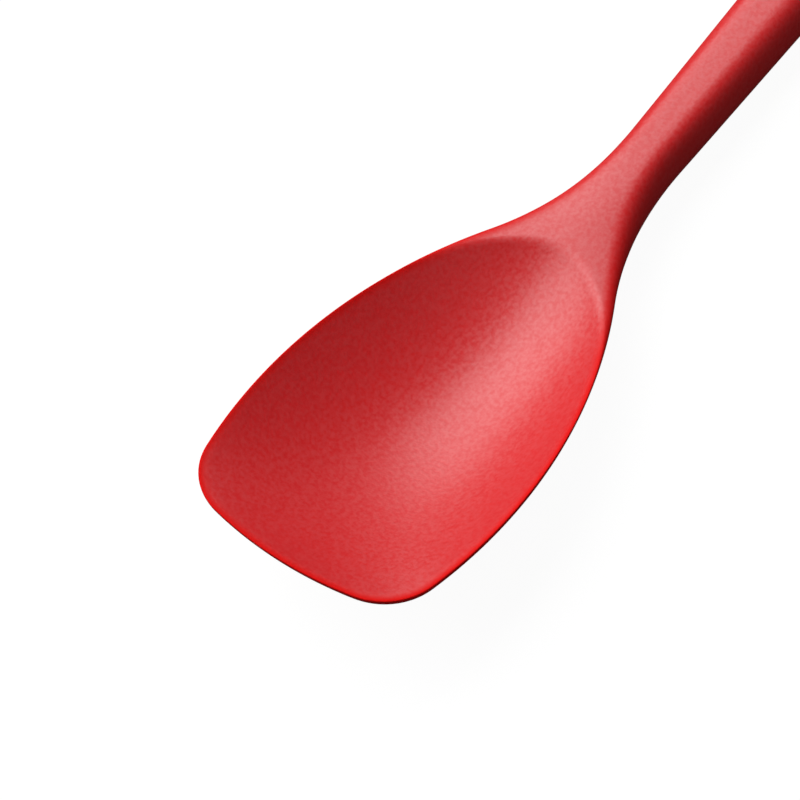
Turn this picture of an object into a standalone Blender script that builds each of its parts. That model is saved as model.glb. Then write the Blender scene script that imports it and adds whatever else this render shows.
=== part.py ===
"""Silicone turner with a scooped head, built as its separate pieces.

A soft silicone skin is moulded over a core: a stainless spine with a dished, perforated
paddle, clamped in the handle between two ribbed nylon halves by three rivets.

The turner lies bowl up on z = 0 with its head towards -X and its handle towards +X, and it is
mirrored about y = 0.  All sizes are in metres.  Places along it run from the tip of the head.
"""
import bpy
import bmesh
import numpy as np
from math import asin, atan2, cos, pi, radians, sin, sqrt, tan
from mathutils import Vector

# Outline seen from above
LENGTH = 0.285
HEAD_WIDTH = 0.064
WIDEST_PLACE = 0.0370
FRONT_RADIUS = 0.088
CORNER_RADIUS = 0.0150
SIDE_RADIUS = 0.1214
NECK_RADIUS = 0.0766
NECK_WIDTH = 0.0142
HANDLE_END_RADIUS = 0.0104

# Side view
HEAD_TILT = radians(8.0)
BEND_AHEAD_OF_NECK = 0.009
BEND_LENGTH = 0.005
NECK_THICKNESS = 0.0132
GRIP_THICKNESS = 0.0136
SHOULDER_LENGTH = 0.0595
FLAT_DEPTH = 0.0004
GRIP_REST_FROM_END = 0.022

# Section: the share of the thickness above the widest line, the crown's curve over its middle and down
# at its sides, the curve of the handle's underside, and how much of its half width the rounding takes
RIM_TOP_SHARE = 0.2
GRIP_TOP_SHARE = 0.51
CROWN_FLATNESS = 3.8
CROWN_FALL = 1.4
UNDERSIDE_FULLNESS = 2.3
ROUND = 2.0
GRIP_ROUNDING = 0.95
SHOULDER_ARCH = 0.28

# Bowl
RIM_THICKNESS = 0.0024
RIM_ROUNDING = 0.0010
BLADE_THICKNESS = 0.0044
BOWL_DEPTH = 0.0138
DEEPEST_PLACE = 0.0515
BOWL_END_AHEAD_OF_NECK = 0.0352
KEEL_END_AHEAD_OF_NECK = 0.020
BOWL_FRONT_FULLNESS = 2.07
BOWL_BACK_FULLNESS = 2.5
BOWL_END_FULLNESS = 6.5
CREASE_HEIGHT = 0.0008

# Fits: the gap between any two pieces, and the silicone over the core
FIT = 0.0003
SKIN = 0.0020

# Steel spine
SPINE_THICKNESS = 0.0008
PADDLE_INSET = 0.0095
PADDLE_CORNER_RADIUS = 0.006
PADDLE_WAIST_AHEAD_OF_NECK = 0.024
PADDLE_WAIST_LENGTH = 0.042
TANG_SIDE_WALL = 0.0012
KEY_HOLE_DIAMETER = 0.0060
KEY_HOLE_SPACING = 0.0130
KEY_ROWS = (2, 3, 2, 1)
KEY_ROW_SPACING = 0.0150
KEY_FIRST_ROW_FROM_EDGE = 0.0090

# Nylon core halves
CORE_START_AHEAD_OF_NECK = 0.014
CORE_EDGE = 0.0008
CORE_WALL = 0.0016
POCKET_END_WALL = 0.0030
POCKET_CORNER = 0.0010
POCKETS_PER_BAY = 2

# Hanging hole
HOLE_DIAMETER = 0.0090
HOLE_FROM_END = 0.0135
HOLE_FLARE = 0.0014
EYE_WALL = 0.0035

# Rivets
RIVET_DIAMETER = 0.0026
RIVET_HEAD_DIAMETER = 0.0048
RIVET_HEAD_THICKNESS = 0.0008
RIVET_RECESS = 0.0003
NECK_RIVET_FROM_CORE_START = 0.0080
TAIL_RIVET_FROM_EYE = 0.0080

# Mesh steps: along the front, corner, side, neck and end arcs, then along the straight handle
SKIN_STEPS = (8, 6, 20, 10, 7)
CORE_STEPS = (4, 3, 12, 7, 6)
STRAIGHT_STEPS = 8
UPPER_ROWS = (9, 3)
LOWER_ROWS = (5, 3)
SPINE_ROWS = 3
CORE_ROWS = 4
ROUND_STEPS = 16
KEY_STEPS = 12
MOUTH_STEPS = 3
NOSE_STEPS = 4
# How far the feet of the mesh columns spread, as a share of the run they serve
END_FAN = 0.35
NOSE_FAN = 0.6
CORE_END_FAN = 0.2
SHARP_ANGLE = radians(35.0)
MERGE = 1e-6
NUDGE = 1e-7


def blend(start, end, place):
    """Smooth step from 0 at start to 1 at end."""
    part = np.clip((place - start) / (end - start), 0.0, 1.0)
    return part * part * (3.0 - 2.0 * part)


def mix(low, high, weight):
    return low + (high - low) * weight


def meeting(first, first_radius, second, second_radius):
    """The crossing of two circles that lies nearer the tip."""
    apart = second - first
    gap = apart.length
    along = (first_radius ** 2 - second_radius ** 2 + gap ** 2) / (2.0 * gap)
    across = sqrt(max(first_radius ** 2 - along ** 2, 0.0))
    foot = first + apart * (along / gap)
    side = Vector((-apart.y, apart.x)) * (across / gap)
    return min(foot + side, foot - side, key=lambda point: point.x)


class Outline:
    """Half outline seen from above, of arcs and one straight run that touch, drawn inside the skin."""

    def __init__(self, inset, corner_radius):
        front = Vector((FRONT_RADIUS, 0.0))
        side = Vector((WIDEST_PLACE, HEAD_WIDTH / 2 - SIDE_RADIUS))
        front_radius = FRONT_RADIUS - inset
        side_radius = SIDE_RADIUS - inset
        corner = meeting(front, front_radius - corner_radius, side, side_radius - corner_radius)
        neck_radius = NECK_RADIUS + inset
        neck_y = NECK_WIDTH / 2 + NECK_RADIUS
        neck_x = side.x + sqrt((SIDE_RADIUS + NECK_RADIUS) ** 2 - (neck_y - side.y) ** 2)
        neck = Vector((neck_x, neck_y))
        end = Vector((LENGTH - HANDLE_END_RADIUS, 0.0))
        end_radius = HANDLE_END_RADIUS - inset
        apart = neck - end
        self.slope = atan2(apart.y, apart.x) - pi + asin((neck_radius + end_radius) / apart.length)
        turns = [
            atan2(corner.y - front.y, corner.x - front.x),
            atan2(corner.y - side.y, corner.x - side.x),
            atan2(neck.y - side.y, neck.x - side.x),
        ]
        self.arcs = [
            (front, front_radius, pi, turns[0], 1),
            (corner, corner_radius, turns[0], turns[1], 1),
            (side, side_radius, turns[1], turns[2], 1),
            (neck, neck_radius, turns[2] - pi, self.slope - pi / 2, -1),
            (end, end_radius, self.slope + pi / 2, 0.0, 1),
        ]
        self.across = Vector((-sin(self.slope), cos(self.slope)))
        self.straight = (neck - self.across * neck_radius, end + self.across * end_radius)
        self.tip = FRONT_RADIUS - front_radius
        self.tail = end.x + end_radius

    def columns(self, steps):
        """Points along the outline with their directions into the body."""
        points, inward = [], []
        for (centre, radius, start, stop, bulge), count in zip(self.arcs, steps):
            if centre is self.arcs[-1][0]:
                for share in np.linspace(0.0, 1.0, STRAIGHT_STEPS + 1)[1:-1]:
                    points.append(self.straight[0].lerp(self.straight[1], share))
                    inward.append(-self.across)
            first = 0 if not points or centre is self.arcs[-1][0] else 1
            for angle in np.linspace(start, stop, count + 1)[first:]:
                out = Vector((cos(angle), sin(angle)))
                points.append(centre + out * radius)
                inward.append(-out * bulge)
        return np.array(points), np.array(inward)

    def distance(self, x, y):
        """How far a point lies inside the outline."""
        y = np.abs(y)
        nearest = np.full(np.shape(x), np.inf)
        for centre, radius, start, stop, bulge in self.arcs:
            angle = np.arctan2(y - centre.y, x - centre.x)
            within = (angle >= min(start, stop) - NUDGE) & (angle <= max(start, stop) + NUDGE)
            depth = bulge * (radius - np.hypot(x - centre.x, y - centre.y))
            nearest = np.where(within, np.minimum(nearest, depth), nearest)
        first, last = self.straight
        run = Vector((cos(self.slope), sin(self.slope)))
        along = (x - first.x) * run.x + (y - first.y) * run.y
        depth = -((x - first.x) * self.across.x + (y - first.y) * self.across.y)
        within = (along >= -NUDGE) & (along <= (last - first).length + NUDGE)
        nearest = np.where(within, np.minimum(nearest, depth), nearest)
        return np.maximum(nearest, 0.0)

    def straight_half_width(self, x):
        """Half width of the straight run of the handle, carried on past both its ends."""
        first = self.straight[0]
        return first.y + (x - first.x) * tan(self.slope)

    def half_width(self, x):
        x = np.clip(x, self.tip + NUDGE, self.tail)
        width = self.straight_half_width(x)
        for centre, radius, start, stop, bulge in self.arcs:
            ends = sorted((centre.x + radius * cos(start), centre.x + radius * cos(stop)))
            rise = np.sqrt(np.maximum(radius ** 2 - (x - centre.x) ** 2, 0.0))
            width = np.where((x >= ends[0]) & (x <= ends[1]), centre.y + bulge * rise, width)
        return width


skin_outline = Outline(0.0, CORNER_RADIUS)
neck_place = skin_outline.arcs[3][0].x
shoulder_start = neck_place - SHOULDER_LENGTH
bowl_end = neck_place - BOWL_END_AHEAD_OF_NECK
keel_end = neck_place - KEEL_END_AHEAD_OF_NECK
core_start = neck_place - CORE_START_AHEAD_OF_NECK
hole_place = LENGTH - HOLE_FROM_END
eye_start = hole_place - HOLE_DIAMETER / 2 - EYE_WALL
grip_rest_place = LENGTH - GRIP_REST_FROM_END


def to_handle(head, handle, x):
    """A value of the head that turns into the handle's over the shoulder."""
    return mix(head, handle, blend(shoulder_start, neck_place, x))


def thickness(x):
    """Height of the body's edge: the thin rim of the head, then the neck and the grip."""
    grip = mix(NECK_THICKNESS, GRIP_THICKNESS, np.clip((x - neck_place) / (LENGTH - neck_place), 0.0, 1.0))
    return to_handle(RIM_THICKNESS, grip, x)


def above(x):
    """Height of the section over its widest line."""
    return thickness(x) * to_handle(RIM_TOP_SHARE, GRIP_TOP_SHARE, x)


def below(x):
    return thickness(x) - above(x)


def rounding(x, rim):
    """How far in from the outline the rounding of the edge reaches: rim on the head's own edge."""
    return to_handle(rim, GRIP_ROUNDING * skin_outline.straight_half_width(np.maximum(x, neck_place)), x)


def swell(inset, reach, flatness, fall):
    """Share of the full height at a distance inside an edge that is rounded over reach."""
    short = np.clip(1.0 - inset / reach, 0.0, 1.0)
    return (1.0 - short ** flatness) ** (1.0 / fall)


def scoop(x, y, depth, end, width_squared):
    """Depth of a spoon-shaped surface below its own rim; negative outside that rim."""
    x = np.where(np.abs(x - end) < NUDGE, end - NUDGE, x)
    front = x < DEEPEST_PLACE
    reach = np.where(front, DEEPEST_PLACE, end - DEEPEST_PLACE)
    power = np.where(front, BOWL_FRONT_FULLNESS, BOWL_BACK_FULLNESS)
    along = 1.0 - (np.abs(x - DEEPEST_PLACE) / reach) ** power
    return depth * (along - along / width_squared(x) * y * y)


def bowl_width_squared(x):
    """Square of the half width of the bowl's mouth, which closes round its back end."""
    share = np.maximum((x - DEEPEST_PLACE) / (bowl_end - DEEPEST_PLACE), 0.0)
    return skin_outline.half_width(x) ** 2 * (1.0 - share ** BOWL_END_FULLNESS)


def head_width_squared(x):
    return skin_outline.half_width(x) ** 2


def keel_depth(x, y):
    """How far the underside bulges below the rim."""
    depth = BOWL_DEPTH + BLADE_THICKNESS - RIM_THICKNESS
    return np.maximum(scoop(x, y, depth, keel_end, head_width_squared), 0.0)


def bend_run(x):
    """Distance past the bend in front of the neck, eased in over the bend's length."""
    return BEND_LENGTH * np.log1p(np.exp((x - neck_place + BEND_AHEAD_OF_NECK) / BEND_LENGTH))


def settle():
    """Height of the tip and rise of the handle with which the bowl and the grip rest on z = 0."""
    fall = tan(HEAD_TILT)
    places = np.linspace(0.0, keel_end, 400)
    under = -fall * places + fall * bend_run(places) - below(places) - keel_depth(places, 0.0)
    tip_height = -FLAT_DEPTH - under.min()
    grip_height = below(grip_rest_place) - FLAT_DEPTH
    rise = (grip_height - tip_height + fall * grip_rest_place) / bend_run(grip_rest_place)
    return tip_height, rise


tip_height, bend_rise = settle()


def middle(x):
    """Height of the widest line, where the top and the underside meet."""
    return tip_height - tan(HEAD_TILT) * x + bend_rise * bend_run(x)


def smooth_min(first, second, width):
    weight = np.clip(0.5 + 0.5 * (second - first) / width, 0.0, 1.0)
    return mix(second, first, weight) - width * weight * (1.0 - weight)


def crown(x, inset, reach):
    """Share of the height over the widest line: round on the rim, a flat-topped bell on the handle."""
    return swell(inset, reach, to_handle(ROUND, CROWN_FLATNESS, x), to_handle(ROUND, CROWN_FALL, x))


def arch(x, inset):
    """Slight arch across the shoulder, fullest halfway between bowl and neck."""
    weight = to_handle(0.0, 1.0, x)
    across = np.clip(1.0 - inset / np.maximum(skin_outline.half_width(x), RIM_THICKNESS), 0.0, 1.0)
    return 1.0 - 4.0 * SHOULDER_ARCH * weight * (1.0 - weight) * across ** 2


def skin_top(x, y):
    bowl = middle(x) + RIM_THICKNESS * RIM_TOP_SHARE - scoop(x, y, BOWL_DEPTH, bowl_end, bowl_width_squared)
    inset = skin_outline.distance(x, y)
    share = crown(x, inset, rounding(x, RIM_THICKNESS * RIM_TOP_SHARE)) * arch(x, inset)
    body = middle(x) + above(x) * share
    return smooth_min(body, bowl, CREASE_HEIGHT)


def belly(x, inset, reach):
    """Share of the height under the widest line."""
    curve = to_handle(ROUND, UNDERSIDE_FULLNESS, x)
    return swell(inset, reach, curve, curve)


def skin_bottom(x, y):
    share = belly(x, skin_outline.distance(x, y), rounding(x, RIM_ROUNDING))
    return middle(x) - below(x) * share - keel_depth(x, y)


def spine_height(x, y):
    """Middle surface of the steel: dished in the head, level across the handle."""
    depth = BOWL_DEPTH + BLADE_THICKNESS / 2 - RIM_THICKNESS * RIM_TOP_SHARE
    dish = scoop(x, y, depth, (bowl_end + keel_end) / 2, head_width_squared)
    return middle(x) - (dish + np.hypot(dish, SPINE_THICKNESS)) / 2


def bowl_up(x, y, z):
    """Place on the turner, from its tip, as a point in the part's own frame."""
    return (x - LENGTH / 2, y, z)


def feet_of(points, tip, tail, end_radius):
    """Where each mesh column meets the middle line: fanned out at both ends, square between."""
    travel = np.concatenate([[0.0], np.cumsum(np.hypot(*np.diff(points, axis=0).T))])
    fan = FRONT_RADIUS / 4
    front = tip + fan + END_FAN * travel
    back = tail - end_radius + END_FAN * (end_radius - travel[-1] + travel)
    middle_foot = mix(front, points[:, 0], blend(tip + fan / 2, neck_place - SHOULDER_LENGTH, points[:, 0]))
    return mix(middle_foot, back, blend(tail - 3 * end_radius, tail - end_radius, points[:, 0]))


def grid_body(name, x, y, upper_rows, upper, lower):
    """Closed body, mirrored about y = 0, from a grid of places under two height fields.

    The first rows of x and y lie on the upper surface, from the middle line out to the edge,
    and the rest on the lower surface, from the edge back to the middle line.
    """
    columns, rows = x.shape
    top = upper(x[:, :upper_rows], y[:, :upper_rows])
    under = lower(x[:, upper_rows:], y[:, upper_rows:])
    z = np.concatenate([top, under], axis=1)
    bm = bmesh.new()
    bmesh.ops.create_grid(bm, x_segments=columns - 1, y_segments=rows - 1, size=1.0)
    for vert in bm.verts:
        i = round((vert.co.x + 1.0) / 2.0 * (columns - 1))
        j = round((vert.co.y + 1.0) / 2.0 * (rows - 1))
        vert.co = bowl_up(x[i, j], y[i, j], z[i, j])
    bmesh.ops.remove_doubles(bm, verts=bm.verts, dist=MERGE)
    bmesh.ops.mirror(bm, geom=bm.verts[:] + bm.edges[:] + bm.faces[:], axis="Y", merge_dist=MERGE)
    bmesh.ops.remove_doubles(bm, verts=bm.verts, dist=MERGE)
    bmesh.ops.dissolve_degenerate(bm, edges=bm.edges, dist=MERGE)
    bmesh.ops.triangulate(bm, faces=bm.faces)
    bmesh.ops.recalc_face_normals(bm, faces=bm.faces)
    return finish(bm, name)


def finish(bm, name):
    mesh = bpy.data.meshes.new(name)
    bm.to_mesh(mesh)
    bm.free()
    mesh.shade_smooth()
    mesh.set_sharp_from_angle(angle=SHARP_ANGLE)
    body = bpy.data.objects.new(name, mesh)
    bpy.context.scene.collection.objects.link(body)
    return body


def row_shares(places, reach, rows, curve):
    """Shares of the way from the middle line to the outline at which the mesh rows lie."""
    flat_rows, edge_rows = rows
    rim = (rounding(places, RIM_ROUNDING) / reach)[:, None]
    flat = (1.0 - rim) * np.linspace(0.0, 1.0, flat_rows + 1)[None, :-1]
    turn = np.linspace(pi / 2, 0.0, edge_rows + 1)[None, :]
    head = np.concatenate([flat, 1.0 - rim * (1.0 - np.cos(turn))], axis=1)
    sweep = np.linspace(0.0, pi / 2, flat_rows + edge_rows + 1)[None, :]
    handle = np.sin(sweep) ** (2.0 / curve)
    return mix(head, handle, blend(shoulder_start, neck_place, places)[:, None])


def outer_skin():
    points, inward = skin_outline.columns(SKIN_STEPS)
    feet = feet_of(points, 0.0, LENGTH, HANDLE_END_RADIUS)
    ray_x, ray_y = points[:, 0] - feet, points[:, 1]
    reach = np.maximum(-(ray_x * inward[:, 0] + ray_y * inward[:, 1]), RIM_THICKNESS)
    upper = row_shares(points[:, 0], reach, UPPER_ROWS, CROWN_FLATNESS)
    lower = row_shares(points[:, 0], reach, LOWER_ROWS, UNDERSIDE_FULLNESS)[:, ::-1]
    shares = np.concatenate([upper, lower], axis=1)
    x = feet[:, None] + ray_x[:, None] * shares
    y = ray_y[:, None] * shares
    body = grid_body("silicone_overmould", x, y, sum(UPPER_ROWS) + 1, skin_top, skin_bottom)
    cut_flat(body)
    return body


def cut_flat(body):
    """Flats under the bowl and under the grip, on which the turner rests."""
    bm = bmesh.new()
    bm.from_mesh(body.data)
    geometry = bm.verts[:] + bm.edges[:] + bm.faces[:]
    bmesh.ops.bisect_plane(bm, geom=geometry, plane_co=(0, 0, 0), plane_no=(0, 0, -1), clear_outer=True)
    bmesh.ops.holes_fill(bm, edges=[edge for edge in bm.edges if edge.is_boundary], sides=0)
    bmesh.ops.recalc_face_normals(bm, faces=bm.faces)
    bm.to_mesh(body.data)
    bm.free()
    body.data.set_sharp_from_angle(angle=SHARP_ANGLE)


def paddle_points(grow):
    """Half outline of the spine: paddle, waist, tang and its round end."""
    outline = Outline(PADDLE_INSET - grow, PADDLE_CORNER_RADIUS + grow)
    points, _ = outline.columns(CORE_STEPS)
    points = points[:sum(CORE_STEPS[:4]) + 1]
    tang = NECK_WIDTH / 2 - SKIN - 2 * FIT - TANG_SIDE_WALL + grow
    waist_end = neck_place - PADDLE_WAIST_AHEAD_OF_NECK
    weight = blend(waist_end - PADDLE_WAIST_LENGTH, waist_end, points[:, 0])
    points[:, 1] = mix(points[:, 1], tang, weight)
    tang_end = eye_start - FIT + grow
    runs = [(place, tang) for place in np.linspace(neck_place, tang_end - tang, STRAIGHT_STEPS + 1)[1:-1]]
    turn = np.linspace(0.0, pi / 2, CORE_STEPS[4])
    ends = np.stack([tang_end - tang * (1.0 - np.sin(turn)), tang * np.cos(turn)], axis=1)
    return np.concatenate([points, runs, ends]), tang, tang_end


def spine_body(name, grow):
    """The stamped strip, or its pocket where grow is the clearance round it."""
    points, tang, tang_end = paddle_points(grow)
    feet = feet_of(points, points[0, 0], tang_end, tang)
    shares = np.linspace(0.0, 1.0, SPINE_ROWS + 1)
    shares = np.concatenate([shares, shares[::-1]])[None, :]
    x = feet[:, None] + (points[:, 0] - feet)[:, None] * shares
    y = points[:, 1][:, None] * shares
    half = SPINE_THICKNESS / 2 + grow
    step = SPINE_THICKNESS / 4

    def slant(x, y):
        """Height per thickness: one on the level, more where the steel slopes."""
        slope_x = (spine_height(x + step, y) - spine_height(x - step, y)) / (2 * step)
        slope_y = (spine_height(x, y + step) - spine_height(x, y - step)) / (2 * step)
        return np.sqrt(1.0 + slope_x ** 2 + slope_y ** 2)

    def upper(x, y):
        return spine_height(x, y) + half * slant(x, y)

    def lower(x, y):
        return spine_height(x, y) - half * slant(x, y)

    return grid_body(name, x, y, SPINE_ROWS + 1, upper, lower)


def core_height(x, y, outline, grow, sign):
    """Height of the nylon core above or below the widest line."""
    full = (above(x) if sign > 0 else below(x)) - SKIN - FIT + grow
    edge = CORE_EDGE + grow
    inset = outline.distance(x, y)
    reach = rounding(x, RIM_ROUNDING) - SKIN - FIT + grow
    share = crown(x, inset, reach) if sign > 0 else belly(x, inset, reach)
    return edge + (full - edge) * share


def core_body(name, grow, upper_sign, lower_sign):
    """A core half, or the pocket for both, as a slab between two height fields."""
    outline = Outline(SKIN + FIT - grow, CORNER_RADIUS)
    points, _ = outline.columns(CORE_STEPS)
    nose_radius = NECK_WIDTH / 2 - SKIN
    nose_start = core_start - grow
    turn = np.linspace(0.0, pi / 2, NOSE_STEPS)[:-1]
    nose_x = nose_start + nose_radius * (1.0 - np.cos(turn))
    nose_y = outline.half_width(nose_x) * np.sin(turn)
    behind = points[points[:, 0] > nose_start + nose_radius]
    points = np.concatenate([np.stack([nose_x, nose_y], axis=1), behind])
    feet = points[:, 0].copy()
    feet[:len(turn)] += nose_radius * np.cos(turn) * NOSE_FAN
    tail = outline.tail
    radius = HANDLE_END_RADIUS - SKIN - FIT + grow
    rounded = points[:, 0] > tail - radius
    feet[rounded] = tail - radius + CORE_END_FAN * (points[rounded, 0] - tail + radius)
    shares = np.sin(np.linspace(0.0, pi / 2, CORE_ROWS + 1))
    level = np.linspace(1.0, 0.0, 3)
    shares = np.concatenate([shares, level if lower_sign == 0 else shares[::-1]])[None, :]
    x = feet[:, None] + (points[:, 0] - feet)[:, None] * shares
    y = points[:, 1][:, None] * shares

    def surface(sign):
        def height(x, y):
            if sign == 0:
                return middle(x) + (upper_sign or -1) * FIT / 2 + 0.0 * y
            return middle(x) + sign * core_height(x, y, outline, grow, sign)
        return height

    return grid_body(name, x, y, CORE_ROWS + 1, surface(upper_sign), surface(lower_sign))


def turned(name, profile, place):
    """Body of revolution about an upright axis, from radius and height pairs, bottom to top."""
    bm = bmesh.new()
    verts = [bm.verts.new((radius, 0.0, height)) for radius, height in profile]
    edges = [bm.edges.new(pair) for pair in zip(verts, verts[1:])]
    bmesh.ops.spin(bm, geom=verts + edges, cent=(0, 0, 0), axis=(0, 0, 1), angle=2 * pi,
                   steps=ROUND_STEPS, use_merge=True)
    bmesh.ops.remove_doubles(bm, verts=bm.verts, dist=MERGE)
    bmesh.ops.recalc_face_normals(bm, faces=bm.faces)
    body = finish(bm, name)
    body.location = bowl_up(place[0], place[1], place[2])
    return body


def as_cutter(body):
    body.hide_render = True
    body.display_type = "WIRE"
    return body


def cut(body, cutter):
    modifier = body.modifiers.new(cutter.name, "BOOLEAN")
    modifier.operation = "DIFFERENCE"
    modifier.object = cutter
    modifier.solver = "EXACT"


def rivet_profile(half_length, grow, beyond):
    """Shank with a flat head at each end; a cutter's heads run on beyond the core."""
    shank = RIVET_DIAMETER / 2 + grow
    head = RIVET_HEAD_DIAMETER / 2 + grow
    under = half_length - RIVET_HEAD_THICKNESS - grow
    top = half_length + beyond
    return [(0, -top), (head, -top), (head, -under), (shank, -under),
            (shank, under), (head, under), (head, top), (0, top)]


def heart(x):
    """Height midway between the top and the underside of the handle."""
    return float(middle(x) + (above(x) - below(x)) / 2)


def add_rivet(name, place, pieces):
    half_length = float(thickness(place)) / 2 - SKIN - FIT - RIVET_RECESS
    spot = (place, 0.0, heart(place))
    rivet = turned(name, rivet_profile(half_length, 0.0, 0.0), spot)
    bore = as_cutter(turned(name + "_bore", rivet_profile(half_length, FIT, SKIN), spot))
    for piece in pieces:
        cut(piece, bore)
    return rivet


def hole_cutter():
    """The hanging hole: straight through the core, with rounded mouths in the silicone."""
    radius = HOLE_DIAMETER / 2
    face = float(thickness(hole_place)) / 2
    mouth = [(radius + HOLE_FLARE * (1 - cos(angle)), face - HOLE_FLARE * (1 - sin(angle)))
             for angle in np.linspace(0.0, pi / 2, MOUTH_STEPS + 1)]
    rim = mouth[-1][0]
    upper = mouth + [(rim, face + HOLE_FLARE), (0.0, face + HOLE_FLARE)]
    lower = [(r, -z) for r, z in reversed(upper)]
    return as_cutter(turned("hanging_hole", lower + upper, (hole_place, 0.0, heart(hole_place))))


def key_holes():
    """Places of the paddle's holes, in rows across it."""
    for row, count in enumerate(KEY_ROWS):
        place = PADDLE_INSET + KEY_FIRST_ROW_FROM_EDGE + row * KEY_ROW_SPACING
        for number in range(count):
            yield place, (number - (count - 1) / 2) * KEY_HOLE_SPACING


def key_cutters(name, radius):
    """One cutter object with a column for each key hole."""
    bm = bmesh.new()
    height = BOWL_DEPTH * 4
    for x, y in key_holes():
        made = bmesh.ops.create_cone(bm, cap_ends=True, segments=KEY_STEPS, radius1=radius, radius2=radius,
                                     depth=height)
        bmesh.ops.translate(bm, verts=made["verts"], vec=bowl_up(x, y, float(spine_height(x, y))))
    return as_cutter(finish(bm, name))


def pocket_cutters(rivet_places):
    """Pockets that lighten the core halves, in the bays between the rivet bosses."""
    bm = bmesh.new()
    boss = RIVET_HEAD_DIAMETER / 2 + FIT + POCKET_END_WALL
    for bay_start, bay_end in zip(rivet_places, rivet_places[1:]):
        start, end = bay_start + boss, bay_end - boss
        pitch = (end - start + POCKET_END_WALL) / POCKETS_PER_BAY
        for number in range(POCKETS_PER_BAY):
            low = start + number * pitch
            high = low + pitch - POCKET_END_WALL
            half_y = float(skin_outline.half_width(low)) - SKIN - FIT - 2 * CORE_WALL
            half_z = float(thickness(low)) / 2 - SKIN - FIT - CORE_WALL
            centre = (low + high) / 2
            made = bmesh.ops.create_cube(bm, size=1.0)
            bmesh.ops.scale(bm, verts=made["verts"], vec=(high - low, 2 * half_y, 2 * half_z))
            bmesh.ops.translate(bm, verts=made["verts"], vec=bowl_up(centre, 0.0, heart(centre)))
    upright = [edge for edge in bm.edges if abs((edge.verts[0].co - edge.verts[1].co).normalized().z) > 0.9]
    bmesh.ops.bevel(bm, geom=upright, offset=POCKET_CORNER, offset_type="OFFSET", affect="EDGES",
                    segments=2, profile=0.5, material=-1)
    return as_cutter(finish(bm, "core_pockets"))


def paint(body, name, colour, roughness, metallic):
    material = bpy.data.materials.new(name)
    material.use_nodes = True
    shader = material.node_tree.nodes["Principled BSDF"]
    shader.inputs["Base Color"].default_value = (*colour, 1.0)
    shader.inputs["Roughness"].default_value = roughness
    shader.inputs["Metallic"].default_value = metallic
    body.data.materials.append(material)


def build():
    for old in list(bpy.data.objects):
        bpy.data.objects.remove(old)

    skin = outer_skin()
    spine = spine_body("steel_spine", 0.0)
    upper_half = core_body("upper_core_half", 0.0, 1, 0)
    lower_half = core_body("lower_core_half", 0.0, 0, -1)

    spine_pocket = as_cutter(spine_body("spine_pocket", FIT))
    core_pocket = as_cutter(core_body("core_pocket", FIT, 1, -1))
    cut(spine, key_cutters("key_holes", KEY_HOLE_DIAMETER / 2))
    cut(spine_pocket, key_cutters("key_posts", KEY_HOLE_DIAMETER / 2 - FIT))

    first_rivet = core_start + NECK_RIVET_FROM_CORE_START
    last_rivet = eye_start - TAIL_RIVET_FROM_EYE
    places = [first_rivet, (first_rivet + last_rivet) / 2, last_rivet]
    names = ["neck_rivet", "middle_rivet", "tail_rivet"]
    rivets = [add_rivet(name, place, (spine, upper_half, lower_half)) for name, place in zip(names, places)]

    hole = hole_cutter()
    pockets = pocket_cutters(places)
    for half in (upper_half, lower_half):
        cut(half, spine_pocket)
        cut(half, pockets)
        cut(half, hole)
    for cutter in (core_pocket, spine_pocket, hole):
        cut(skin, cutter)

    paint(skin, "red silicone", (0.62, 0.035, 0.035), 0.45, 0.0)
    paint(spine, "brushed stainless steel", (0.60, 0.60, 0.58), 0.32, 1.0)
    for half in (upper_half, lower_half):
        paint(half, "glass-filled nylon", (0.045, 0.045, 0.050), 0.55, 0.0)
    for rivet in rivets:
        paint(rivet, "rivet steel", (0.66, 0.66, 0.64), 0.28, 1.0)

    turner = bpy.data.objects.new("turner", None)
    bpy.context.scene.collection.objects.link(turner)
    for body in (skin, spine, upper_half, lower_half, *rivets):
        body.parent = turner


build()
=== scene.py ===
"""Looks of a one-piece silicone turner: its moulded skin, the core that shows in the hanging
hole, and a plain pale studio.  All sizes are in metres unless a name says otherwise.
"""

from math import asin, atan2, cos, hypot, pi, radians, sin, sqrt, tan

import bmesh
import bpy
import numpy as np
from mathutils import Matrix, Vector


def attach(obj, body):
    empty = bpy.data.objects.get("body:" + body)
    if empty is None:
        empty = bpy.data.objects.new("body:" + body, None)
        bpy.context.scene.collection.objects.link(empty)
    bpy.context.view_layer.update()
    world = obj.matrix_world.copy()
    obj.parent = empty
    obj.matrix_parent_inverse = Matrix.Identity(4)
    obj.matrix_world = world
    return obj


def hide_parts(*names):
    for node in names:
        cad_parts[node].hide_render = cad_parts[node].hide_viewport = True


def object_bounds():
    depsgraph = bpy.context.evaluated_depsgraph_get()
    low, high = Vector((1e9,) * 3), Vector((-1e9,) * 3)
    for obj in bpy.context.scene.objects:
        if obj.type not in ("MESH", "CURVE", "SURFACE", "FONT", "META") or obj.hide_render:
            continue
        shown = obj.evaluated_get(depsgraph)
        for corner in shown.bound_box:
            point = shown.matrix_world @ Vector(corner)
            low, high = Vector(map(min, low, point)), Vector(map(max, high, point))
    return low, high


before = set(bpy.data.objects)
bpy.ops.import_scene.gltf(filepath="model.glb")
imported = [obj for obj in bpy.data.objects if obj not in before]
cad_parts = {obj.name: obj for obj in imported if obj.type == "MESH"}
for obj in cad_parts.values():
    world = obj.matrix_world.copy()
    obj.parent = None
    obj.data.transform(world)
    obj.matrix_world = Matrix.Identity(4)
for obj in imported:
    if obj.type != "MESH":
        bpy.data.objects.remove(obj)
cad_low, cad_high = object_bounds()
tip_x, length = cad_low.x, cad_high.x - cad_low.x

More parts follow.
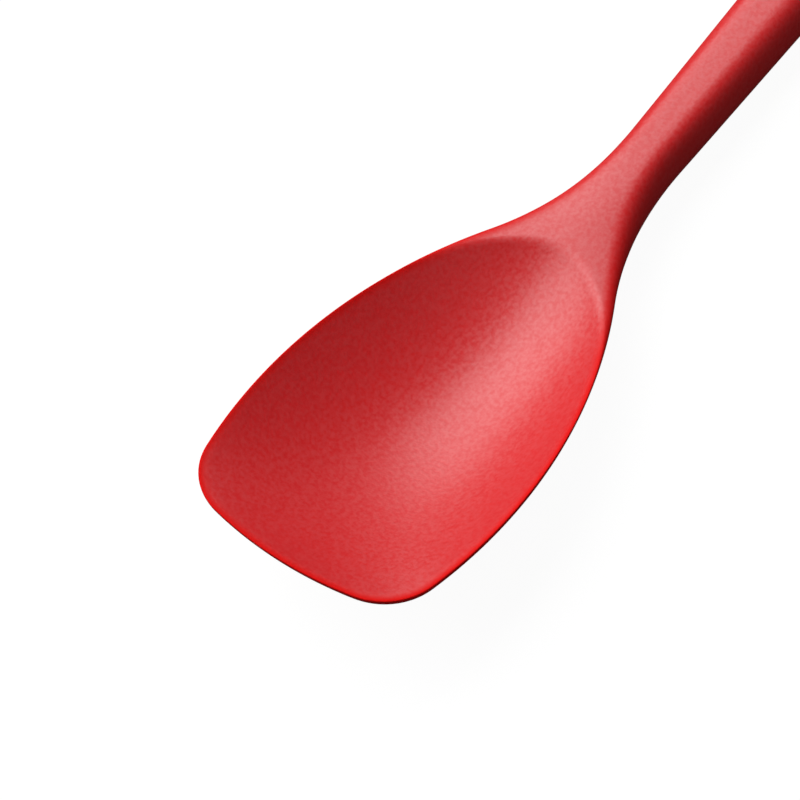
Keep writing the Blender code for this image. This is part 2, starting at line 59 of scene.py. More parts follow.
# Outline of the skin seen from above; places run from the tip of the head
HEAD_WIDTH = cad_high.y - cad_low.y
WIDEST_PLACE = 0.0370
FRONT_RADIUS = 0.088
CORNER_RADIUS = 0.0150
SIDE_RADIUS = 0.1214
NECK_RADIUS = 0.0766
NECK_WIDTH = 0.0142
HANDLE_END_RADIUS = 0.0104

# Side view
HEAD_TILT = radians(8.0)
BEND_AHEAD_OF_NECK = 0.009
BEND_LENGTH = 0.005
NECK_THICKNESS = 0.0132
GRIP_THICKNESS = 0.0136
SHOULDER_LENGTH = 0.0595
FLAT_DEPTH = 0.0004
GRIP_REST_FROM_END = 0.022

# Section: the share of the thickness above the widest line, the crown's curve over its middle and down
# at its sides, the curve of the handle's underside, and how much of its half width the rounding takes
RIM_TOP_SHARE = 0.2
GRIP_TOP_SHARE = 0.51
CROWN_FLATNESS = 3.8
CROWN_FALL = 1.4
UNDERSIDE_FULLNESS = 2.3
ROUND = 2.0
GRIP_ROUNDING = 0.95
SHOULDER_ARCH = 0.28

# Bowl
RIM_THICKNESS = 0.0024
RIM_ROUNDING = 0.0010
BLADE_THICKNESS = 0.0044
BOWL_DEPTH = 0.0138
DEEPEST_PLACE = 0.0515
BOWL_END_AHEAD_OF_NECK = 0.0352
KEEL_END_AHEAD_OF_NECK = 0.020
BOWL_FRONT_FULLNESS = 2.07
BOWL_BACK_FULLNESS = 2.5
BOWL_END_FULLNESS = 6.5
CREASE_HEIGHT = 0.0008

# Band along the edge where a purer red is painted as glow and the sheen is painted weaker: on the head, on
# the handle, and its strength there
LIP_BAND = 0.0026
EDGE_BAND = 0.0060
EDGE_SHARE = 0.42

# Hanging hole
HOLE_RADIUS = 0.0045
HOLE_FROM_END = 0.0135
HOLE_FLARE = 0.0014

# Mesh steps along the front, corner, side, neck and end arcs, along the straight handle,
# and across each surface: over the open part, then round the edge
ARC_STEPS = (44, 30, 150, 64, 30)
STRAIGHT_STEPS = 80
UPPER_ROWS = (42, 12)
LOWER_ROWS = (22, 10)
SHARP_ANGLE = radians(35.0)

# Where the mesh columns fan out: from the tip, before the handle's end, and how fast their feet travel
FRONT_FAN = FRONT_RADIUS / 4
END_FAN_REACH = 3 * HANDLE_END_RADIUS
FAN_PACE = 0.35

# Steps down and round the hole's mouths, and how far each mouth turns before it meets the skin
MOUTH_STEPS = 8
ROUND_STEPS = 96
MOUTH_TURN = radians(82.0)

# Steps along the underside that find its lowest point, and the lengths that count as nothing
SETTLE_STEPS = 400
HAIR = 0.00001
MERGE = 1e-6
NUDGE = 1e-7


# Shape of the skin

def ease(start, end, place):
    """Smooth step from 0 at start to 1 at end."""
    part = np.clip((place - start) / (end - start), 0.0, 1.0)
    return part * part * (3.0 - 2.0 * part)


def mix(low, high, weight):
    return low + (high - low) * weight


def meeting(first, first_radius, second, second_radius):
    """The crossing of two circles that lies nearer the tip."""
    apart = second - first
    gap = apart.length
    along = (first_radius ** 2 - second_radius ** 2 + gap ** 2) / (2.0 * gap)
    across = sqrt(max(first_radius ** 2 - along ** 2, 0.0))
    foot = first + apart * (along / gap)
    side = Vector((-apart.y, apart.x)) * (across / gap)
    return min(foot + side, foot - side, key=lambda point: point.x)


class Outline:
    """Half outline seen from above: arcs and one straight run, each touching the next."""

    def __init__(self):
        front = Vector((FRONT_RADIUS, 0.0))
        side = Vector((WIDEST_PLACE, HEAD_WIDTH / 2 - SIDE_RADIUS))
        corner = meeting(front, FRONT_RADIUS - CORNER_RADIUS, side, SIDE_RADIUS - CORNER_RADIUS)
        neck_y = NECK_WIDTH / 2 + NECK_RADIUS
        neck_x = side.x + sqrt((SIDE_RADIUS + NECK_RADIUS) ** 2 - (neck_y - side.y) ** 2)
        neck = Vector((neck_x, neck_y))
        end = Vector((length - HANDLE_END_RADIUS, 0.0))
        apart = neck - end
        self.slope = atan2(apart.y, apart.x) - pi + asin((NECK_RADIUS + HANDLE_END_RADIUS) / apart.length)
        front_turn = atan2(corner.y - front.y, corner.x - front.x)
        side_turn = atan2(corner.y - side.y, corner.x - side.x)
        neck_turn = atan2(neck.y - side.y, neck.x - side.x)
        self.arcs = [
            (front, FRONT_RADIUS, pi, front_turn, 1),
            (corner, CORNER_RADIUS, front_turn, side_turn, 1),
            (side, SIDE_RADIUS, side_turn, neck_turn, 1),
            (neck, NECK_RADIUS, neck_turn - pi, self.slope - pi / 2, -1),
            (end, HANDLE_END_RADIUS, self.slope + pi / 2, 0.0, 1),
        ]
        self.across = Vector((-sin(self.slope), cos(self.slope)))
        self.straight = (neck - self.across * NECK_RADIUS, end + self.across * HANDLE_END_RADIUS)

    def columns(self):
        """Points along the outline with their directions into the body."""
        points, inward = [], []
        for (centre, radius, start, stop, bulge), count in zip(self.arcs, ARC_STEPS):
            if centre is self.arcs[-1][0]:
                for share in np.linspace(0.0, 1.0, STRAIGHT_STEPS + 1)[1:-1]:
                    points.append(self.straight[0].lerp(self.straight[1], share))
                    inward.append(-self.across)
            first = 0 if not points or centre is self.arcs[-1][0] else 1
            for angle in np.linspace(start, stop, count + 1)[first:]:
                out = Vector((cos(angle), sin(angle)))
                points.append(centre + out * radius)
                inward.append(-out * bulge)
        return np.array(points), np.array(inward)

    def distance(self, x, y):
        """How far a point lies inside the outline."""
        y = np.abs(y)
        nearest = np.full(np.shape(x), np.inf)
        for centre, radius, start, stop, bulge in self.arcs:
            angle = np.arctan2(y - centre.y, x - centre.x)
            within = (angle >= min(start, stop) - NUDGE) & (angle <= max(start, stop) + NUDGE)
            depth = bulge * (radius - np.hypot(x - centre.x, y - centre.y))
            nearest = np.where(within, np.minimum(nearest, depth), nearest)
        first, last = self.straight
        run = Vector((cos(self.slope), sin(self.slope)))
        along = (x - first.x) * run.x + (y - first.y) * run.y
        depth = -((x - first.x) * self.across.x + (y - first.y) * self.across.y)
        within = (along >= -NUDGE) & (along <= (last - first).length + NUDGE)
        nearest = np.where(within, np.minimum(nearest, depth), nearest)
        return np.maximum(nearest, 0.0)

    def straight_half_width(self, x):
        """Half width of the straight run of the handle, carried on past both its ends."""
        first = self.straight[0]
        return first.y + (x - first.x) * tan(self.slope)

    def half_width(self, x):
        x = np.clip(x, NUDGE, length)
        width = self.straight_half_width(x)
        for centre, radius, start, stop, bulge in self.arcs:
            ends = sorted((centre.x + radius * cos(start), centre.x + radius * cos(stop)))
            rise = np.sqrt(np.maximum(radius ** 2 - (x - centre.x) ** 2, 0.0))
            width = np.where((x >= ends[0]) & (x <= ends[1]), centre.y + bulge * rise, width)
        return width


outline = Outline()
neck_place = outline.arcs[3][0].x
shoulder_start = neck_place - SHOULDER_LENGTH
bowl_end = neck_place - BOWL_END_AHEAD_OF_NECK
keel_end = neck_place - KEEL_END_AHEAD_OF_NECK
hole_place = length - HOLE_FROM_END
grip_rest_place = length - GRIP_REST_FROM_END


def to_handle(head, handle, x):
    """A value of the head that turns into the handle's over the shoulder."""
    return mix(head, handle, ease(shoulder_start, neck_place, x))


def thickness(x):
    """Height of the body's edge: the thin rim of the head, then the neck and the grip."""
    grip = mix(NECK_THICKNESS, GRIP_THICKNESS, np.clip((x - neck_place) / (length - neck_place), 0.0, 1.0))
    return to_handle(RIM_THICKNESS, grip, x)


def above(x):
    """Height of the section over its widest line."""
    return thickness(x) * to_handle(RIM_TOP_SHARE, GRIP_TOP_SHARE, x)


def below(x):
    return thickness(x) - above(x)


def rounding(x, rim):
    """How far in from the outline the rounding of the edge reaches: rim on the head's own edge."""
    return to_handle(rim, GRIP_ROUNDING * outline.straight_half_width(np.maximum(x, neck_place)), x)


def swell(inset, reach, flatness, fall):
    """Share of the full height at a distance inside an edge that is rounded over reach."""
    short = np.clip(1.0 - inset / reach, 0.0, 1.0)
    return (1.0 - short ** flatness) ** (1.0 / fall)


def scoop(x, y, depth, end, width_squared):
    """Depth of a spoon-shaped surface below its own rim; negative outside that rim."""
    x = np.where(np.abs(x - end) < NUDGE, end - NUDGE, x)
    front = x < DEEPEST_PLACE
    reach = np.where(front, DEEPEST_PLACE, end - DEEPEST_PLACE)
    power = np.where(front, BOWL_FRONT_FULLNESS, BOWL_BACK_FULLNESS)
    along = 1.0 - (np.abs(x - DEEPEST_PLACE) / reach) ** power
    return depth * (along - along / width_squared(x) * y * y)


def bowl_width_squared(x):
    """Square of the half width of the bowl's mouth, which closes round its back end."""
    share = np.maximum((x - DEEPEST_PLACE) / (bowl_end - DEEPEST_PLACE), 0.0)
    return outline.half_width(x) ** 2 * (1.0 - share ** BOWL_END_FULLNESS)


def head_width_squared(x):
    return outline.half_width(x) ** 2


def keel_depth(x, y):
    """How far the underside bulges below the rim."""
    depth = BOWL_DEPTH + BLADE_THICKNESS - RIM_THICKNESS
    return np.maximum(scoop(x, y, depth, keel_end, head_width_squared), 0.0)


def bend_run(x):
    """Distance past the bend in front of the neck, eased in over the bend's length."""
    return BEND_LENGTH * np.log1p(np.exp((x - neck_place + BEND_AHEAD_OF_NECK) / BEND_LENGTH))


def settle():
    """Height of the tip and rise of the handle with which the bowl and the grip rest on z = 0."""
    fall = tan(HEAD_TILT)
    places = np.linspace(0.0, keel_end, SETTLE_STEPS)
    under = -fall * places + fall * bend_run(places) - below(places) - keel_depth(places, 0.0)
    height = -FLAT_DEPTH - under.min()
    grip_height = below(grip_rest_place) - FLAT_DEPTH
    rise = (grip_height - height + fall * grip_rest_place) / bend_run(grip_rest_place)
    return height, rise


tip_height, bend_rise = settle()


def middle(x):
    """Height of the widest line, where the top and the underside meet."""
    return tip_height - tan(HEAD_TILT) * x + bend_rise * bend_run(x)


def smooth_min(first, second, width):
    weight = np.clip(0.5 + 0.5 * (second - first) / width, 0.0, 1.0)
    return mix(second, first, weight) - width * weight * (1.0 - weight)


def crown(x, inset, reach):
    """Share of the height over the widest line: round on the rim, a flat-topped bell on the handle."""
    return swell(inset, reach, to_handle(ROUND, CROWN_FLATNESS, x), to_handle(ROUND, CROWN_FALL, x))


def arch(x, inset):
    """Slight arch across the shoulder, fullest halfway between bowl and neck."""
    weight = to_handle(0.0, 1.0, x)
    across = np.clip(1.0 - inset / np.maximum(outline.half_width(x), RIM_THICKNESS), 0.0, 1.0)
    return 1.0 - 4.0 * SHOULDER_ARCH * weight * (1.0 - weight) * across ** 2


def skin_top(x, y):
    bowl = middle(x) + RIM_THICKNESS * RIM_TOP_SHARE - scoop(x, y, BOWL_DEPTH, bowl_end, bowl_width_squared)
    inset = outline.distance(x, y)
    share = crown(x, inset, rounding(x, RIM_THICKNESS * RIM_TOP_SHARE)) * arch(x, inset)
    body = middle(x) + above(x) * share
    return smooth_min(body, bowl, CREASE_HEIGHT)


def belly(x, inset, reach):
    """Share of the height under the widest line."""
    curve = to_handle(ROUND, UNDERSIDE_FULLNESS, x)
    return swell(inset, reach, curve, curve)


def skin_bottom(x, y):
    share = belly(x, outline.distance(x, y), rounding(x, RIM_ROUNDING))
    return middle(x) - below(x) * share - keel_depth(x, y)


def feet_of(points):
    """Where each mesh column meets the middle line: fanned out at both ends, square between."""
    travel = np.concatenate([[0.0], np.cumsum(np.hypot(*np.diff(points, axis=0).T))])
    end_start = length - HANDLE_END_RADIUS
    front = FRONT_FAN + FAN_PACE * travel
    back = end_start + FAN_PACE * (HANDLE_END_RADIUS - travel[-1] + travel)
    feet = mix(front, points[:, 0], ease(FRONT_FAN / 2, shoulder_start, points[:, 0]))
    return mix(feet, back, ease(length - END_FAN_REACH, end_start, points[:, 0]))


def row_shares(places, reach, rows, curve):
    """Shares of the way from the middle line to the outline at which the mesh rows lie."""
    flat_rows, edge_rows = rows
    rim = (rounding(places, RIM_ROUNDING) / reach)[:, None]
    flat = (1.0 - rim) * np.linspace(0.0, 1.0, flat_rows + 1)[None, :-1]
    turn = np.linspace(pi / 2, 0.0, edge_rows + 1)[None, :]
    head = np.concatenate([flat, 1.0 - rim * (1.0 - np.cos(turn))], axis=1)
    sweep = np.linspace(0.0, pi / 2, flat_rows + edge_rows + 1)[None, :]
    handle = np.sin(sweep) ** (2.0 / curve)
    return mix(head, handle, ease(shoulder_start, neck_place, places)[:, None])


def moulded_skin():
    """The outer surface: half a grid laid on the height fields and mirrored about Y = 0."""
    points, inward = outline.columns()
    feet = feet_of(points)
    ray_x, ray_y = points[:, 0] - feet, points[:, 1]
    reach = np.maximum(-(ray_x * inward[:, 0] + ray_y * inward[:, 1]), RIM_THICKNESS)
    upper = row_shares(points[:, 0], reach, UPPER_ROWS, CROWN_FLATNESS)
    lower = row_shares(points[:, 0], reach, LOWER_ROWS, UNDERSIDE_FULLNESS)[:, ::-1]
    shares = np.concatenate([upper, lower], axis=1)
    x = feet[:, None] + ray_x[:, None] * shares
    y = ray_y[:, None] * shares
    count = upper.shape[1]
    top = skin_top(x[:, :count], y[:, :count])
    under = skin_bottom(x[:, count:], y[:, count:])
    z = np.concatenate([top, under], axis=1)

    bm = bmesh.new()
    columns, rows = x.shape
    bmesh.ops.create_grid(bm, x_segments=columns - 1, y_segments=rows - 1, size=1.0)
    for vert in bm.verts:
        i = round((vert.co.x + 1.0) / 2.0 * (columns - 1))
        j = round((vert.co.y + 1.0) / 2.0 * (rows - 1))
        vert.co = (x[i, j] + tip_x, y[i, j], z[i, j])
    bmesh.ops.remove_doubles(bm, verts=bm.verts, dist=MERGE)
    bmesh.ops.mirror(bm, geom=bm.verts[:] + bm.edges[:] + bm.faces[:], axis="Y", merge_dist=MERGE)
    bmesh.ops.remove_doubles(bm, verts=bm.verts, dist=MERGE)
    bmesh.ops.dissolve_degenerate(bm, edges=bm.edges, dist=MERGE)
    geometry = bm.verts[:] + bm.edges[:] + bm.faces[:]
    bmesh.ops.bisect_plane(bm, geom=geometry, plane_co=(0, 0, 0), plane_no=(0, 0, -1), clear_outer=True)
    bmesh.ops.holes_fill(bm, edges=[edge for edge in bm.edges if edge.is_boundary], sides=0)
    bmesh.ops.recalc_face_normals(bm, faces=bm.faces)
    skin = piece(bm, "silicone_skin")
    subtract(skin, core_room())
    subtract(skin, hanging_hole())
    mark_painted_lip_light(skin.data)
    return skin


def mark_painted_lip_light(mesh):
    """Stores the mask for the painted glow and weaker sheen: 1 at the head's thin edge, less at the
    handle's upper edges, else 0.
    """
    places = np.empty(3 * len(mesh.vertices))
    mesh.vertices.foreach_get("co", places)
    x, y, z = places[0::3] - tip_x, places[1::3], places[2::3]
    inset = outline.distance(x, y)
    inner = ease(0.0, to_handle(LIP_BAND, EDGE_BAND, x), inset)
    # Only above the widest line: the painted glow and weaker sheen stay off the edge's underside
    upper = ease(-RIM_THICKNESS, 0.0, z - middle(x))
    share = to_handle(1.0, EDGE_SHARE, x) * (1.0 - inner) * upper
    mesh.attributes.new("painted_lip_light", "FLOAT", "POINT").data.foreach_set("value", share)


def core_room():
    """The room that the steel and the core fill, as the CAD skin has it, closed across the hanging hole."""
    bm = bmesh.new()
    bm.from_mesh(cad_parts["silicone_overmould"].data)
    bmesh.ops.remove_doubles(bm, verts=bm.verts, dist=MERGE)
    hole_x = tip_x + hole_place
    near = {vert for vert in bm.verts if hypot(vert.co.x - hole_x, vert.co.y) < HOLE_RADIUS + HAIR}
    bore = [face for face in bm.faces if near.issuperset(face.verts)]
    bmesh.ops.delete(bm, geom=bore, context="FACES")
    outside = set()
    waiting = [max(bm.verts, key=lambda vert: vert.co.x)]
    while waiting:
        vert = waiting.pop()
        if vert not in outside:
            outside.add(vert)
            waiting.extend(edge.other_vert(vert) for edge in vert.link_edges)
    bmesh.ops.delete(bm, geom=list(outside), context="VERTS")
    bmesh.ops.holes_fill(bm, edges=[edge for edge in bm.edges if edge.is_boundary], sides=0)
    bmesh.ops.recalc_face_normals(bm, faces=bm.faces)
    return piece(bm, "core_room")


def hanging_hole():
    """The bore of the hanging hole, with rounded mouths that follow the skin."""
    face = GRIP_THICKNESS / 2
    mouth = [(HOLE_RADIUS + HOLE_FLARE * (1.0 - cos(turn)), face - HOLE_FLARE * (1.0 - sin(turn)))
             for turn in np.linspace(0.0, MOUTH_TURN, MOUTH_STEPS + 1)]
    rim = HOLE_RADIUS + HOLE_FLARE
    upper = mouth + [(rim, face + HAIR), (rim, face + HOLE_FLARE), (0.0, face + HOLE_FLARE)]
    profile = [(radius, -height) for radius, height in reversed(upper)] + upper
    bm = bmesh.new()
    verts = [bm.verts.new((radius, 0.0, height)) for radius, height in profile]
    edges = [bm.edges.new(pair) for pair in zip(verts, verts[1:])]
    bmesh.ops.spin(bm, geom=verts + edges, cent=(0, 0, 0), axis=(0, 0, 1), angle=2 * pi,
                   steps=ROUND_STEPS, use_merge=True)
    bmesh.ops.remove_doubles(bm, verts=bm.verts, dist=MERGE)
    for vert in bm.verts:
        x = hole_place + vert.co.x
        over = vert.co.z > 0.0
        surface = float((skin_top if over else skin_bottom)(x, vert.co.y))
        vert.co = (x + tip_x, vert.co.y, surface + vert.co.z + (-face if over else face))
    bmesh.ops.recalc_face_normals(bm, faces=bm.faces)
    return piece(bm, "hanging_hole")


def subtract(body, cutter):
    """Takes the cutter out of the body."""
    modifier = body.modifiers.new("cut", "BOOLEAN")
    modifier.operation = "DIFFERENCE"
    modifier.solver = "EXACT"
    modifier.object = cutter
    bm = bmesh.new()
    bm.from_object(body, bpy.context.evaluated_depsgraph_get())
    body.modifiers.clear()
    bmesh.ops.remove_doubles(bm, verts=bm.verts, dist=MERGE)
    bmesh.ops.dissolve_degenerate(bm, edges=bm.edges, dist=MERGE)
    bm.to_mesh(body.data)
    bm.free()
    body.data.set_sharp_from_angle(angle=SHARP_ANGLE)
    bpy.data.meshes.remove(cutter.data)


def piece(bm, name):
    """Object made from a bmesh, smooth but for its sharp edges."""
    mesh = bpy.data.meshes.new(name)
    bm.to_mesh(mesh)
    bm.free()
    mesh.shade_smooth()
    mesh.set_sharp_from_angle(angle=SHARP_ANGLE)
    made = bpy.data.objects.new(name, mesh)
    bpy.context.scene.collection.objects.link(made)
    return made


# Materials

def linear(hex_colour):
    """Linear colour of an sRGB hex value."""
    parts = np.array([int(hex_colour[i:i + 2], 16) for i in (1, 3, 5)]) / 255
    return (*np.where(parts <= 0.04045, parts / 12.92, ((parts + 0.055) / 1.055) ** 2.4), 1.0)


def node(tree, kind, settings=None, **links):
    """Adds a node; links are input names, spaces as underscores, with values or sockets."""
    made = tree.nodes.new(kind)
    for name, value in (settings or {}).items():
        setattr(made, name, value)
    for name, value in links.items():
        socket = made.inputs[name.replace("_", " ")]
        if isinstance(value, bpy.types.NodeSocket):
            tree.links.new(value, socket)
        else:
            socket.default_value = value
    return made


def new_material(name):
    material = bpy.data.materials.new(name)
    material.use_nodes = True
    tree = material.node_tree
    return material, tree, tree.nodes["Principled BSDF"]


def waves_per_metre(millimetres):
    """Texture scale that gives grains or lines of this width on Object coordinates."""
    return 1000.0 / millimetres


def noise(tree, place, millimetres, detail=2.0, stretch=(1.0, 1.0, 1.0)):
    """Noise of a real grain size; stretch lengthens the grains along each axis."""
    shares = [1.0 / part for part in stretch]
    spread = node(tree, "ShaderNodeVectorMath", {"operation": "MULTIPLY"}, Vector=place)
    spread.inputs[1].default_value = shares
    return node(tree, "ShaderNodeTexNoise", Vector=spread.outputs["Vector"],
                Scale=waves_per_metre(millimetres), Detail=detail).outputs["Fac"]


def spread_over(tree, share, low, high):
    """Carries a 0 to 1 pattern to the values from low to high."""
    made = node(tree, "ShaderNodeMapRange", Value=share, To_Min=low, To_Max=high)
    return made.outputs["Result"]


def contrast(tree, share, low, high):
    """Stretches the part of a pattern between low and high to the whole range from 0 to 1."""
    made = node(tree, "ShaderNodeMapRange", Value=share, From_Min=low, From_Max=high)
    return made.outputs["Result"]


def two_tone(tree, share, first, second):
    """Colour between two others, each a hex colour or a colour socket."""
    made = node(tree, "ShaderNodeMix", {"data_type": "RGBA"})
    tree.links.new(share, made.inputs["Factor"])
    for name, colour in (("A", first), ("B", second)):
        if isinstance(colour, str):
            made.inputs[name].default_value = linear(colour)
        else:
            tree.links.new(colour, made.inputs[name])
    return made.outputs["Result"]


def object_place(tree):
    return node(tree, "ShaderNodeTexCoord").outputs["Object"]


def streaked(tree, shader, streaks, colours, roughness, strength, height):
    """Colour, roughness and relief that all follow one pattern of streaks."""
    tree.links.new(two_tone(tree, streaks, *colours), shader.inputs["Base Color"])
    tree.links.new(spread_over(tree, streaks, *roughness), shader.inputs["Roughness"])
    bump = node(tree, "ShaderNodeBump", Height=streaks, Strength=strength, Distance=height)
    tree.links.new(bump.outputs["Normal"], shader.inputs["Normal"])


# Widths of grains and streaks in millimetres, how much longer than wide the streaks are, and the
# height of each relief in metres
CLOUD_MM = 18.0
SPECKLE_MM = 0.95
SPECKLE_HEIGHT = 0.000018
FIBRE_MM = 0.15
FIBRE_STRETCH = 14.0
FIBRE_HEIGHT = 0.00002
BRUSH_MM = 0.12
BRUSH_STRETCH = 120.0
BRUSH_HEIGHT = 0.000004
DRAWN_MM = 0.10
DRAWN_STRETCH = 30.0
DRAWN_HEIGHT = 0.000003

# Part of the noise that the speckle's contrast stretches, and the dull lip
SPECKLE_RANGE = (0.3, 0.7)
LIP_ROUGHNESS = 0.8
SILICONE_IOR = 1.61
NYLON_IOR = 1.53


def satin_silicone():
    """Silicone cast in a bead-blasted mould.

    The blasted grain gives the satin look: a strong, wide highlight with no edge.  A speckle of
    about 1 mm breaks it up: its hollows are deeper red and mirror less, the weaker mirroring being
    painted shade for the pits, and its crests carry a paler bloom.  Broad, faint clouds stand for the
    handling dust that silicone holds.  Along the thin lip, and more weakly along the handle's upper
    edges, a purer red is painted as glow for light passing through thin silicone, and the sheen is
    painted weaker there.
    """
    material, tree, shader = new_material("satin red silicone")
    place = object_place(tree)
    clouds = noise(tree, place, CLOUD_MM, detail=3.0)
    speckle = contrast(tree, noise(tree, place, SPECKLE_MM, detail=1.0), *SPECKLE_RANGE)
    deep = two_tone(tree, clouds, "#e4141a", "#e6161c")
    bloom = two_tone(tree, clouds, "#e51a20", "#e71d23")
    painted_lip_light = node(tree, "ShaderNodeAttribute", {"attribute_name": "painted_lip_light"}).outputs["Fac"]
    blade = two_tone(tree, speckle, deep, bloom)
    # Painted glow: the purer red along the lip and the handle's upper edges stands in for light passing
    # through thin silicone
    tree.links.new(two_tone(tree, painted_lip_light, blade, "#ee0c08"), shader.inputs["Base Color"])
    grain = spread_over(tree, speckle, 0.38, 0.45)
    tree.links.new(spread_over(tree, painted_lip_light, grain, LIP_ROUGHNESS), shader.inputs["Roughness"])
    # Painted shade: the speckle's hollows mirror less, standing in for the pits shading themselves
    sheen = two_tone(tree, speckle, "#cccccc", "#ffffff")
    # Painted weaker reflection: the specular tint darkens along the same band
    tree.links.new(two_tone(tree, painted_lip_light, sheen, "#404040"), shader.inputs["Specular Tint"])
    shader.inputs["IOR"].default_value = SILICONE_IOR
    shader.inputs["Specular IOR Level"].default_value = 1.0
    bump = node(tree, "ShaderNodeBump", Height=speckle, Strength=1.0, Distance=SPECKLE_HEIGHT)
    tree.links.new(bump.outputs["Normal"], shader.inputs["Normal"])
    return material


def glass_filled_nylon():
    """Black nylon with short glass fibres, which leave fine streaks along the flow of the melt."""
    material, tree, shader = new_material("glass-filled nylon")
    fibres = noise(tree, object_place(tree), FIBRE_MM, stretch=(FIBRE_STRETCH, 1.0, 1.0))
    streaked(tree, shader, fibres, ("#1d1e20", "#33353a"), (0.42, 0.62), 0.3, FIBRE_HEIGHT)
    shader.inputs["IOR"].default_value = NYLON_IOR
    return material


def brushed_stainless():
    """Stainless strip as rolled and brushed: hair lines along the handle, slightly uneven shine."""
    material, tree, shader = new_material("brushed stainless steel")
    lines = noise(tree, object_place(tree), BRUSH_MM, detail=3.0, stretch=(BRUSH_STRETCH, 1.0, 1.0))
    streaked(tree, shader, lines, ("#b9b9b6", "#d2d2cf"), (0.24, 0.40), 0.25, BRUSH_HEIGHT)
    shader.inputs["Metallic"].default_value = 1.0
    return material


def rivet_steel():
    """Cold-headed steel: a bright drawn shank and heads with a fine, cloudy press finish."""
    material, tree, shader = new_material("rivet steel")
    drawn = noise(tree, object_place(tree), DRAWN_MM, stretch=(1.0, 1.0, DRAWN_STRETCH))
    streaked(tree, shader, drawn, ("#c4c4c1", "#dadad8"), (0.22, 0.36), 0.2, DRAWN_HEIGHT)
    shader.inputs["Metallic"].default_value = 1.0
    return material


def dress(name, material):
    """Gives a CAD node the look of its material."""
    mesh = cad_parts[name].data
    mesh.materials.clear()
    mesh.materials.append(material)


# Studio: one large soft box and a faint card by the camera, as seen from the head's middle
BOX_AZIMUTH = radians(85.0)
BOX_ELEVATION = radians(50.0)
BOX_DISTANCE = 1.1
BOX_SIZE = (2.0, 1.1)
BOX_WATTS = 17.5
CARD_AZIMUTH = radians(-110.0)
CARD_ELEVATION = radians(55.0)
CARD_DISTANCE = 1.6
CARD_SIZE = (1.5, 1.5)
CARD_WATTS = 2.4
FILL_STRENGTH = 0.09
FLOOR_HALF_WIDTH = 3.0
# Share of the white ground that mirror-like rays see, and the light that the ground adds for the camera
GLOSSY_SHARE = 0.02
PAPER_GREY = 0.10
PAPER_GLOW = 0.95


def seen_share(tree, glossy):
    """1 for rays straight to the camera or through glass, glossy for mirrored rays, else 0."""
    path = node(tree, "ShaderNodeLightPath").outputs
    clear = node(tree, "ShaderNodeMath", {"operation": "MAXIMUM"})
    tree.links.new(path["Is Camera Ray"], clear.inputs[0])
    tree.links.new(path["Is Transmission Ray"], clear.inputs[1])
    mirrored = node(tree, "ShaderNodeMath", {"operation": "MULTIPLY_ADD"})
    tree.links.new(path["Is Glossy Ray"], mirrored.inputs[0])
    mirrored.inputs[1].default_value = glossy
    tree.links.new(clear.outputs["Value"], mirrored.inputs[2])
    return mirrored.outputs["Value"]


def paper_floor():
    """Grey paper that holds the shadow and glows to white for the camera."""
    bm = bmesh.new()
    bmesh.ops.create_grid(bm, x_segments=1, y_segments=1, size=FLOOR_HALF_WIDTH)
    floor = piece(bm, "floor")
    material, tree, shader = new_material("pale paper")
    shader.inputs["Base Color"].default_value = (PAPER_GREY, PAPER_GREY, PAPER_GREY, 1.0)
    shader.inputs["Roughness"].default_value = 1.0
    shader.inputs["Specular IOR Level"].default_value = 0.0
    shader.inputs["Emission Color"].default_value = (1.0, 1.0, 1.0, 1.0)
    glow = node(tree, "ShaderNodeMath", {"operation": "MULTIPLY"})
    tree.links.new(seen_share(tree, GLOSSY_SHARE), glow.inputs[0])
    glow.inputs[1].default_value = PAPER_GLOW
    tree.links.new(glow.outputs["Value"], shader.inputs["Emission Strength"])
    floor.data.materials.append(material)


def pale_surround():
    """Even, faint fill that looks white behind the floor."""
    world = bpy.data.worlds.new("studio")
    bpy.context.scene.world = world
    world.use_nodes = True
    tree = world.node_tree
    background = tree.nodes["Background"]
    background.inputs["Color"].default_value = (1.0, 1.0, 1.0, 1.0)
    strength = spread_over(tree, seen_share(tree, GLOSSY_SHARE), FILL_STRENGTH, 1.0)
    tree.links.new(strength, background.inputs["Strength"])


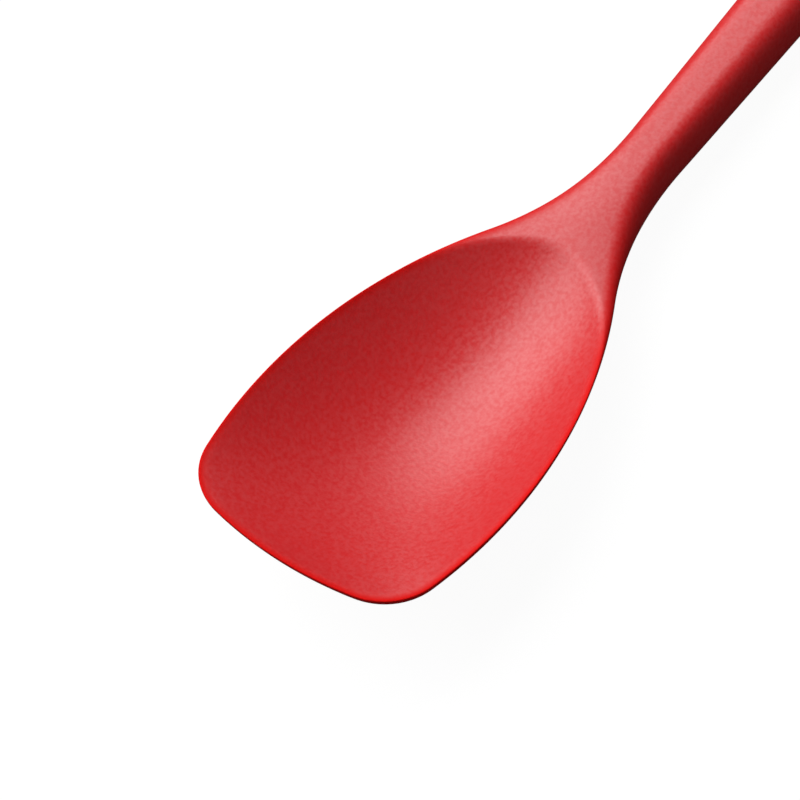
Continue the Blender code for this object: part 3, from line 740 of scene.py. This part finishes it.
def soft_light(name, azimuth, elevation, distance, size, watts):
    """Rectangular light that faces the head's middle."""
    light = bpy.data.lights.new(name, "AREA")
    light.shape = "RECTANGLE"
    light.size, light.size_y = size
    light.energy = watts
    made = bpy.data.objects.new(name, light)
    bpy.context.scene.collection.objects.link(made)
    level = cos(elevation)
    way = Vector((level * cos(azimuth), level * sin(azimuth), sin(elevation)))
    made.location = Vector((tip_x + WIDEST_PLACE, 0.0, 0.0)) + way * distance
    made.rotation_euler = way.to_track_quat("Z", "Y").to_euler()
    return made


# Camera: turns about the row axes and place that lay the outline on the photograph's
LENS_MM = 200.0
SENSOR_MM = 36.0
FRAME_PIXELS = 800
PIVOT = Vector((0.050, 0.0, 0.010))
PIXELS_PER_MM = 4.6818
TURN_X, TURN_Y, TURN_Z = -0.3627, 0.4006, 1.0257
PIVOT_RIGHT, PIVOT_UP = 0.005841, -0.005296


def camera():
    data = bpy.data.cameras.new("camera")
    data.lens = LENS_MM
    data.sensor_width = SENSOR_MM
    turn_z, turn_x, turn_y = (Matrix.Rotation(angle, 3, axis)
                              for angle, axis in ((TURN_Z, "Z"), (TURN_X, "X"), (TURN_Y, "Y")))
    turn = turn_z @ turn_x @ turn_y
    distance = LENS_MM / SENSOR_MM * FRAME_PIXELS / PIXELS_PER_MM / 1000
    made = bpy.data.objects.new("camera", data)
    bpy.context.scene.collection.objects.link(made)
    pivot = PIVOT + Vector((tip_x, 0.0, 0.0))
    made.location = pivot + turn.transposed() @ Vector((-PIVOT_RIGHT, -PIVOT_UP, distance))
    made.rotation_euler = turn.transposed().to_euler()
    bpy.context.scene.camera = made


skin = moulded_skin()
skin.data.materials.append(satin_silicone())
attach(skin, "root")
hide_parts("silicone_overmould")

dress("steel_spine", brushed_stainless())
nylon = glass_filled_nylon()
dress("upper_core_half", nylon)
dress("lower_core_half", nylon)
steel = rivet_steel()
for name in ("neck_rivet", "middle_rivet", "tail_rivet"):
    dress(name, steel)

camera()
paper_floor()
pale_surround()
soft_light("soft box", BOX_AZIMUTH, BOX_ELEVATION, BOX_DISTANCE, BOX_SIZE, BOX_WATTS)
card = soft_light("card", CARD_AZIMUTH, CARD_ELEVATION, CARD_DISTANCE, CARD_SIZE, CARD_WATTS)
card.visible_glossy = False
bpy.context.scene.view_settings.view_transform = "Standard"
